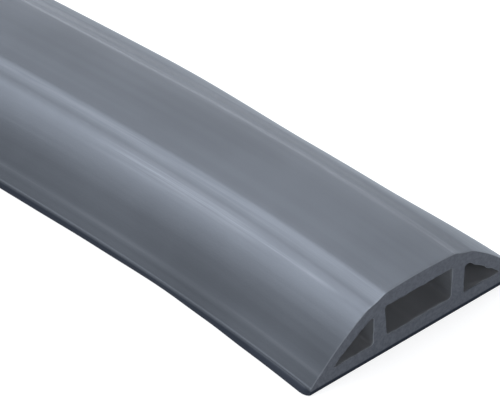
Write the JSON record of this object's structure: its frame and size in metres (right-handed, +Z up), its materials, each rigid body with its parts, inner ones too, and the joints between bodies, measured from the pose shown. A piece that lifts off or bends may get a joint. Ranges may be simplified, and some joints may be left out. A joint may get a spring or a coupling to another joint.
{
  "type": "floor cord cover",
  "caption": "Low humped floor cord cover: a length of flexible grey extrusion with cord channels inside, thin lips along its edges and square cut ends.",
  "frame": {"origin": "centre of the bounding box, on the underside that lies on the floor", "axes": "+Y along the straight run, away from the cut end that the bend leads to; +X across the cover; +Z up from the floor"},
  "size_m": [0.0858, 1.5294, 0.0213],
  "materials": {
    "grey_vinyl": "satin"
  },
  "bodies": {
    "root": {"cord_cover": "grey_vinyl"}
  },
  "joints": []
}
